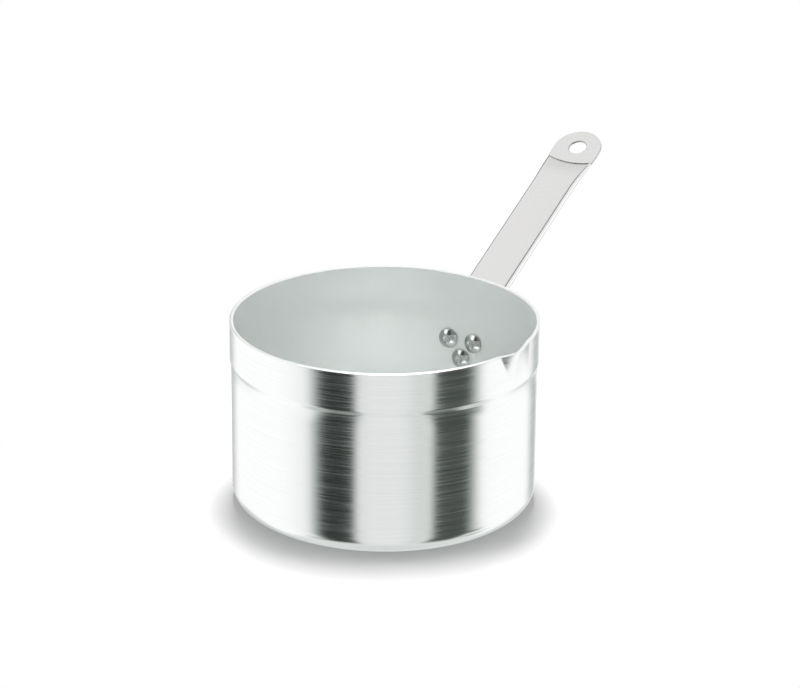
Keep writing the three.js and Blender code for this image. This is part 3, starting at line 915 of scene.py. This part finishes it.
def turned_aluminium():
    """Spun and brushed aluminium: fine rings round the pan, which break up its dark reflections."""
    material, tree = start_material("turned_aluminium")
    place = add_node(tree, "ShaderNodeTexCoord").outputs["Object"]
    parts = add_node(tree, "ShaderNodeSeparateXYZ", inputs={"Vector": place})
    flat = add_node(tree, "ShaderNodeVectorMath", {"operation": "MULTIPLY"},
                    {0: place, 1: (1, 1, 0)})
    radius = add_node(tree, "ShaderNodeVectorMath", {"operation": "LENGTH"},
                      {0: flat.outputs["Vector"]})
    # Height and radius together run on round the corner, so that the underside has rings too.
    run = add_node(tree, "ShaderNodeMath", {"operation": "ADD"},
                   {0: parts.outputs["Z"], 1: radius.outputs["Value"]})
    ring = add_node(tree, "ShaderNodeCombineXYZ", inputs={
        "X": parts.outputs["X"], "Y": parts.outputs["Y"], "Z": run.outputs["Value"]})
    stretched = add_node(tree, "ShaderNodeVectorMath", {"operation": "MULTIPLY"},
                         {0: ring.outputs["Vector"], 1: BRUSH_LINES})
    lines = add_node(tree, "ShaderNodeTexNoise", inputs={
        "Vector": stretched.outputs["Vector"], "Scale": 1.0, "Detail": 2.0})
    bump = add_node(tree, "ShaderNodeBump", inputs={
        "Strength": 0.05, "Distance": BRUSH_RELIEF, "Height": lines.outputs["Fac"]})
    finish_metal(tree, "turned", lines.outputs["Fac"], (0.25, 0.75, 0.935, 1.0),
                 (0.3, 0.7, 0.117, 0.229), Normal=bump.outputs["Normal"])
    return material


def matt_aluminium():
    """Etched aluminium: an even, soft grey with faint clouds and a fine grain."""
    material, tree = start_material("matt_aluminium")
    place = add_node(tree, "ShaderNodeTexCoord").outputs["Object"]
    clouds = add_node(tree, "ShaderNodeTexNoise", inputs={
        "Vector": place, "Scale": ETCHED_CLOUDS, "Detail": 2.0})
    grain = add_node(tree, "ShaderNodeTexNoise", inputs={
        "Vector": place, "Scale": ETCHED_GRAIN, "Detail": 1.0})
    rough = add_node(tree, "ShaderNodeMapRange", inputs={
        "Value": grain.outputs["Fac"], **dict(zip(SPAN, (0.3, 0.7, 0.46, 0.56)))})
    finish_metal(tree, "matt", clouds.outputs["Fac"], (0.3, 0.7, 0.97, 1.0),
                 rough.outputs["Result"])
    return material


def trimmed_aluminium():
    """Trimmed and deburred aluminium: a soft, even white line along the rim."""
    return marked_metal("trimmed_aluminium", "trimmed", TOOL_MARKS, 2.0,
                        (0.3, 0.7, 0.97, 1.0), (0.3, 0.7, 0.45, 0.55))


def satin_steel():
    """Tumbled stainless sheet: a smooth pale grey with a soft sheen along the grip."""
    material, tree = start_material("satin_stainless_steel")
    place = add_node(tree, "ShaderNodeTexCoord").outputs["Object"]
    along_grip = add_node(tree, "ShaderNodeMapping", inputs={
        "Vector": place, "Rotation": (0, bpy.context.scene.saucepan_handle.slope, 0),
        "Scale": SATIN_GRAIN})
    grain = add_node(tree, "ShaderNodeTexNoise", inputs={
        "Vector": along_grip.outputs["Vector"], "Scale": 1.0, "Detail": 2.0})
    finish_metal(tree, "satin", grain.outputs["Fac"], (0.25, 0.75, 0.985, 1.0),
                 (0.3, 0.7, 0.20, 0.24))
    return material


def sheared_steel():
    """Darker grey band along the edges of the sheet: a faint grey line round the handle."""
    return marked_metal("sheared_stainless_steel", "sheared", SHEAR_MARKS, 2.0,
                        (0.3, 0.7, 0.94, 1.0), 0.25)


def pierced_steel_painted_shade():
    """Sheared edge of the sheet in the hanging hole: duller than its faces, darkened as painted
    shade.
    """
    return marked_metal("pierced_stainless_steel_painted_shade", "pierced_painted_shade", SHEAR_MARKS, 2.0,
                        (0.3, 0.7, 0.8, 1.0), 0.3)


def polished_aluminium():
    """Headed and polished aluminium rivet: a small curved mirror with fine handling marks."""
    return marked_metal("polished_aluminium", "polished", HANDLING_MARKS, 3.0,
                        (0.3, 0.7, 0.9, 1.0), (0.35, 0.7, 0.14, 0.26))


# Studio


# Cards round the pan as metal sees them. In degrees: where each begins, is full, is still full
# and ends (to the right of the camera), its lower and upper edge, and then what it multiplies the
# tent's light by.
CARDS = {
    "front": (-30, -14, 24, 42, -90, 14, 0.79),
    "front_right": (12, 30, 34, 42, -90, 14, 0.82),
    "front_high": (-30, -16, 30, 44, 12, 54, 0.32),
    "front_top": (-70, -50, 30, 45, 56, 84, 2.4),
    "left_flag": (-62, -45, -25, -17.5, -90, 55, 0.033),
    "left_flag_fade": (-86, -60, -44, -26, -90, 14, 0.91),
    "right_flag": (33.5, 41, 63, 81, -90, 30, 0.066),
    "rear_right": (133, 152, 155, 171, -27, 10, 0.48),
    "rear_left": (-180, -166, -162, -140, -27, 0, 0.55),
    "rear_left_high": (-182, -180, -147, -135, 0, 40, 0.04),
    "rear_mid_high": (158, 167, 181, 182, 10, 44, 0.2),
    "rear_ramp": (-182, -180, -160, -146, 36, 58, 0.84),
    "rear_left_top": (-182, -178, -112, -96, 50, 74, 0.985),
    "rear_right_low": (112, 150, 186, 190, -60, -28, 0.65),
    "rear_left_low": (-190, -186, -150, -112, -60, -28, 0.6),
    "left_flag_low": (-80, -66, -50, -40, -64, -44, 0.5),
    "right_flag_low": (72, 82, 94, 108, -62, -42, 0.55),
    "lip_flag": (60, 68, 79, 87, -37, -29, 0.1),
    "softbox": (-80, -70, -58, -50, 14, 40, 2.4),
}
# Angles above the horizon in degrees, and levels of light.
CARD_EDGE = 5
PANEL_LEVEL = 1.09
OVERHEAD_LEVEL = 0.3
OVERHEAD_RISE = (63, 71)
FLOOR_LEVELS = (0.74, 0.84)
FLOOR_RISE = (-80, -45)
FLOOR_EDGE = (-60, -48)
FLOOR_LIGHT = 0.64
WHITE = (1, 1, 1, 1)
GREENISH = (0.86, 1.0, 0.90, 1)

# The floor, in metres. It turns to plain white at some distance from the pan's middle.
PAPER = (0.8, 0.8, 0.8, 1)
PAPER_SIZE = 12
PAPER_GAP = 0.3 * MM
PLAIN_WHITE_FROM = 0.14
PLAIN_WHITE_AT = 0.22

# Where the lamps are, in metres: the key behind the pan, the inside light before it. The spot that
# it falls on is given towards the camera and to the right.
LAMP_HEIGHT = 1.5
KEY_BEHIND = 0.24
INSIDE_BEFORE = 0.45
INSIDE_SPOT = (0.035, 0.006)
RIM_LIGHT_RISE = math.radians(21)
HANDLE_LIGHT_FROM = (0.79, -0.41, -0.45)

# The camera that was fitted to the pan in the photo.
CAMERA_PLACE = (-1.3995, -0.8813, 0.7198)
CAMERA_FORWARD = (0.7928, 0.4938, -0.3572)
CAMERA_ROLL = math.radians(-0.476)
SENSOR_WIDTH = 36


def window(tree, value, degrees):
    """One between the second and third angle, nought before the first and after the fourth."""
    begin, full, still, end = (math.radians(angle) for angle in degrees)
    rise = add_node(tree, "ShaderNodeMapRange", {"interpolation_type": "SMOOTHSTEP"}, {
        "Value": value, "From Min": begin, "From Max": full})
    fall = add_node(tree, "ShaderNodeMapRange", {"interpolation_type": "SMOOTHSTEP"}, {
        "Value": value, "From Min": still, "From Max": end, "To Min": 1.0, "To Max": 0.0})
    return add_node(tree, "ShaderNodeMath", {"operation": "MULTIPLY"}, {
        0: rise.outputs["Result"], 1: fall.outputs["Result"]}).outputs["Value"]


def light_tent(bearing):
    """A white tent with cards round the pan, as metal sees it. The camera sees plain white."""
    world = bpy.data.worlds.new("light_tent")
    bpy.context.scene.world = world
    world.use_nodes = True
    tree = world.node_tree
    tree.nodes.clear()
    direction = add_node(tree, "ShaderNodeTexCoord").outputs["Generated"]
    turned = add_node(tree, "ShaderNodeVectorRotate", {"rotation_type": "Z_AXIS"}, {
        "Vector": direction, "Angle": -bearing})
    parts = add_node(tree, "ShaderNodeSeparateXYZ", inputs={"Vector": turned.outputs["Vector"]})
    across = add_node(tree, "ShaderNodeMath", {"operation": "ARCTAN2"}, {
        0: parts.outputs["Y"], 1: parts.outputs["X"]}).outputs["Value"]
    rise = add_node(tree, "ShaderNodeMath", {"operation": "ARCSINE"}, {
        0: parts.outputs["Z"]}).outputs["Value"]

    level = PANEL_LEVEL
    for begin, full, still, end, low, high, shade in CARDS.values():
        aside = window(tree, across, (begin, full, still, end))
        height = window(tree, rise, (
            low - CARD_EDGE, low + CARD_EDGE, high - CARD_EDGE, high + CARD_EDGE))
        covered = add_node(tree, "ShaderNodeMath", {"operation": "MULTIPLY"}, {0: aside, 1: height})
        dimmed = add_node(tree, "ShaderNodeMix", {"data_type": "FLOAT"}, {
            "Factor": covered.outputs["Value"], "A": 1.0, "B": shade})
        level = add_node(tree, "ShaderNodeMath", {"operation": "MULTIPLY"}, {
            0: level, 1: dimmed.outputs["Result"]}).outputs["Value"]

    ramps = []
    for kind, span, ends in (
            ("LINEAR", FLOOR_RISE, FLOOR_LEVELS), ("SMOOTHSTEP", FLOOR_EDGE, (1.0, 0.0)),
            ("SMOOTHSTEP", OVERHEAD_RISE, (0.0, 1.0))):
        ramps.append(add_node(tree, "ShaderNodeMapRange", {"interpolation_type": kind}, {
            "Value": rise, "From Min": math.radians(span[0]), "From Max": math.radians(span[1]),
            "To Min": ends[0], "To Max": ends[1]}).outputs["Result"])
    floor, on_floor, overhead = ramps
    for share, other in ((on_floor, floor), (overhead, OVERHEAD_LEVEL)):
        level = add_node(tree, "ShaderNodeMix", {"data_type": "FLOAT"}, {
            "Factor": share, "A": level, "B": other}).outputs["Result"]
    # The dark cards are a greenish black to metal.
    colour = add_node(tree, "ShaderNodeMix", {"data_type": "RGBA"}, {
        "Factor": level, "A": GREENISH, "B": WHITE}).outputs["Result"]
    path = add_node(tree, "ShaderNodeLightPath")
    # The floor gets an even light, straight and from the pan, so only the key light throws a shadow.
    by_floor = add_node(tree, "ShaderNodeMath", {"operation": "MINIMUM"}, {
        0: path.outputs["Diffuse Depth"], 1: 1.0}).outputs["Value"]
    for share, other in ((by_floor, FLOOR_LIGHT), (path.outputs["Is Camera Ray"], 1.0)):
        level = add_node(tree, "ShaderNodeMix", {"data_type": "FLOAT"}, {
            "Factor": share, "A": level, "B": other}).outputs["Result"]
    colour = add_node(tree, "ShaderNodeMix", {"data_type": "RGBA"}, {
        "Factor": path.outputs["Is Glossy Ray"], "A": WHITE, "B": colour}).outputs["Result"]
    shader = add_node(tree, "ShaderNodeBackground", inputs={"Color": colour, "Strength": level})
    add_node(tree, "ShaderNodeOutputWorld", inputs={"Surface": shader.outputs["Background"]})
    world.cycles.sampling_method = "NONE"


def white_paper():
    """Matt white paper that is plain white away from the pan. It is clear from below, so that the
    base shows in low views."""
    material, tree = start_material("white_paper")
    paper = add_node(tree, "ShaderNodeBsdfDiffuse", inputs={"Color": PAPER})
    plain = add_node(tree, "ShaderNodeEmission", inputs={"Color": WHITE, "Strength": 1.0})
    place = add_node(tree, "ShaderNodeTexCoord").outputs["Object"]
    away = add_node(tree, "ShaderNodeVectorMath", {"operation": "LENGTH"}, {0: place})
    share = add_node(tree, "ShaderNodeMapRange", {"interpolation_type": "SMOOTHSTEP"}, {
        "Value": away.outputs["Value"], "From Min": PLAIN_WHITE_FROM, "From Max": PLAIN_WHITE_AT})
    above = add_node(tree, "ShaderNodeMixShader", inputs={
        0: share.outputs["Result"], 1: paper.outputs["BSDF"], 2: plain.outputs["Emission"]})
    clear = add_node(tree, "ShaderNodeBsdfTransparent")
    side = add_node(tree, "ShaderNodeNewGeometry")
    shader = add_node(tree, "ShaderNodeMixShader", inputs={
        0: side.outputs["Backfacing"], 1: above.outputs["Shader"], 2: clear.outputs["BSDF"]})
    add_node(tree, "ShaderNodeOutputMaterial", inputs={"Surface": shader.outputs["Shader"]})
    return material


def add_lamp(name, kind, piece, linking, **settings):
    """A lamp linked to one piece: the only one that receives its light, or the only one that blocks
    it."""
    lamp = bpy.data.objects.new(name, bpy.data.lights.new(name, kind))
    for key, value in settings.items():
        setattr(lamp.data, key, value)
    bpy.context.collection.objects.link(lamp)
    linked = bpy.data.collections.new(name + "_pieces")
    linked.objects.link(bpy.data.objects[piece])
    setattr(lamp.light_linking, linking + "_collection", linked)
    return lamp


def turned_from(direction):
    """The turn of a lamp whose light comes from a direction."""
    return direction.to_track_quat("Z", "Y").to_euler()


class SAUCEPAN_OT_studio(bpy.types.Operator):
    """Sets up the floor, the light and the camera"""

    bl_idname = "saucepan.studio"
    bl_label = "Studio"

    def execute(self, context):
        studio = context.scene.saucepan_studio
        light_tent(studio.bearing)

        bpy.ops.object.select_all(action="DESELECT")
        bpy.ops.mesh.primitive_plane_add(size=PAPER_SIZE, location=(0, 0, -PAPER_GAP))
        floor = name_piece("floor")
        floor.data.materials.append(white_paper())
        floor.visible_glossy = False
        floor.visible_shadow = False

        to_camera = Vector((math.cos(studio.bearing), math.sin(studio.bearing), 0))
        to_side = Vector((-to_camera.y, to_camera.x, 0))
        above = Vector((0, 0, LAMP_HEIGHT))

        # The key light throws the pan's shadow on the floor. The handle throws none, as in the photo.
        key = add_lamp("key_light", "AREA", "pan", "blocker",
                       shape="RECTANGLE", size=0.30, size_y=0.51, energy=21)
        key.location = above - to_camera * KEY_BEHIND
        key.rotation_euler = (0, 0, studio.bearing + QUARTER_TURN)
        key.visible_glossy = False

        # The inside light falls on the floor of the pan.
        inside = add_lamp("inside_light", "SPOT", "pan", "receiver", energy=275,
                          spot_size=math.radians(3.4), spot_blend=1.0, shadow_soft_size=0.02)
        spot = to_camera * INSIDE_SPOT[0] + to_side * INSIDE_SPOT[1]
        inside.location = spot + to_camera * INSIDE_BEFORE + above
        inside.rotation_euler = turned_from(inside.location - spot)

        # The rim light comes from behind the pan.
        rim = add_lamp("rim_light", "SUN", "pan", "receiver", energy=0.15, angle=math.radians(10))
        rim.rotation_euler = turned_from(Vector((0, 0, math.tan(RIM_LIGHT_RISE))) - to_camera)

        # The handle light brightens the folded side of the handle.
        side = add_lamp("handle_light", "SUN", "handle_strip", "receiver",
                        energy=0.15, angle=math.radians(40))
        side.rotation_euler = turned_from(Vector(HANDLE_LIGHT_FROM))

        camera = bpy.data.objects.new("camera", bpy.data.cameras.new("camera"))
        context.collection.objects.link(camera)
        camera.data.lens = studio.lens
        camera.data.sensor_width = SENSOR_WIDTH
        camera.data.clip_start = 0.01
        camera.data.clip_end = 50
        forward = Vector(CAMERA_FORWARD).normalized()
        level_right = forward.cross(Vector((0, 0, 1))).normalized()
        right = Matrix.Rotation(CAMERA_ROLL, 3, forward) @ level_right
        up = right.cross(forward)
        turn_to = Matrix((right, up, -forward)).transposed()
        camera.matrix_world = Matrix.Translation(CAMERA_PLACE) @ turn_to.to_4x4()
        context.scene.camera = camera
        context.scene.view_settings.view_transform = "Standard"
        return {"FINISHED"}


class VIEW3D_PT_saucepan(bpy.types.Panel):
    """Sizes, finishes and steps of the saucepan"""

    bl_label = "Saucepan"
    bl_space_type = "VIEW_3D"
    bl_region_type = "UI"
    bl_category = "Saucepan"

    def draw(self, context):
        for title, owner in GROUPS.items():
            box = self.layout.box()
            box.label(text=title.capitalize())
            group = getattr(context.scene, "saucepan_" + title)
            for key in owner.__annotations__:
                box.prop(group, key)
        for operator in STEPS:
            self.layout.operator(operator.bl_idname)


GROUPS = {
    "pan": PanSizes,
    "handle": HandleSizes,
    "rivet": RivetSizes,
    "finishes": Finishes,
    "studio": StudioSettings,
}
STEPS = (SAUCEPAN_OT_pan, SAUCEPAN_OT_handle, SAUCEPAN_OT_rivets, SAUCEPAN_OT_studio)


def register():
    for cls in (*GROUPS.values(), *STEPS, VIEW3D_PT_saucepan):
        bpy.utils.register_class(cls)
    for title, owner in GROUPS.items():
        setattr(bpy.types.Scene, "saucepan_" + title, bpy.props.PointerProperty(type=owner))


def unregister():
    for title in GROUPS:
        delattr(bpy.types.Scene, "saucepan_" + title)
    for cls in reversed((*GROUPS.values(), *STEPS, VIEW3D_PT_saucepan)):
        bpy.utils.unregister_class(cls)


def main():
    register()
    bpy.ops.saucepan.pan()
    bpy.ops.saucepan.handle()
    bpy.ops.saucepan.rivets()
    bpy.ops.saucepan.studio()


if __name__ == "__main__":
    main()
